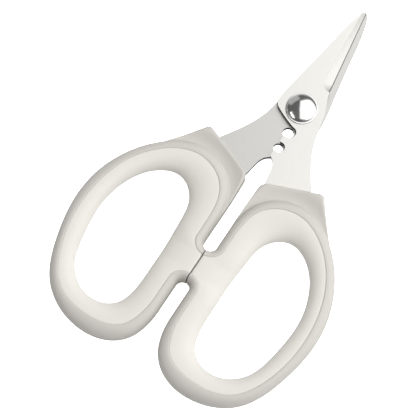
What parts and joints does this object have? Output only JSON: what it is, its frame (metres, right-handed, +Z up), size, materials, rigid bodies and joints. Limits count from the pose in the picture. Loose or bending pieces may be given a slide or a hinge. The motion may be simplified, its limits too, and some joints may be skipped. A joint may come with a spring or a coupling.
{
  "type": "kitchen shears",
  "caption": "Closed kitchen shears with two crossing blades, herb stripping holes below the pivot, and two-tone finger bows with soft inserts.",
  "frame": {"origin": "under the middle of the closed shears, on the surface they lie on", "axes": "+Y along the centre line towards the blade tips, +X towards the handle of the upper blade, +Z up, along the pivot towards its domed head"},
  "size_m": [0.116, 0.1799, 0.011],
  "materials": {
    "blade_steel": "satin",
    "handle_shell": "matte",
    "soft_grip": "soft matte",
    "pivot_chrome": "polished",
    "pivot_steel": "satin"
  },
  "bodies": {
    "lower_half": {"lower_blade": "blade_steel", "lower_handle_shell": "handle_shell", "lower_finger_grip": "soft_grip"},
    "upper_half": {"upper_blade": "blade_steel", "upper_handle_shell": "handle_shell", "upper_finger_grip": "soft_grip", "pivot_bolt": "pivot_chrome", "head_washer": "pivot_chrome", "spring_washer": "pivot_steel", "pivot_nut": "pivot_steel"}
  },
  "joints": [
    {"name": "pivot", "type": "hinge", "parent": "lower_half", "child": "upper_half", "pos_m": [0, 0.0378, 0.0055], "axis": [0, 0, 1], "range_deg": [0, 125]}
  ]
}
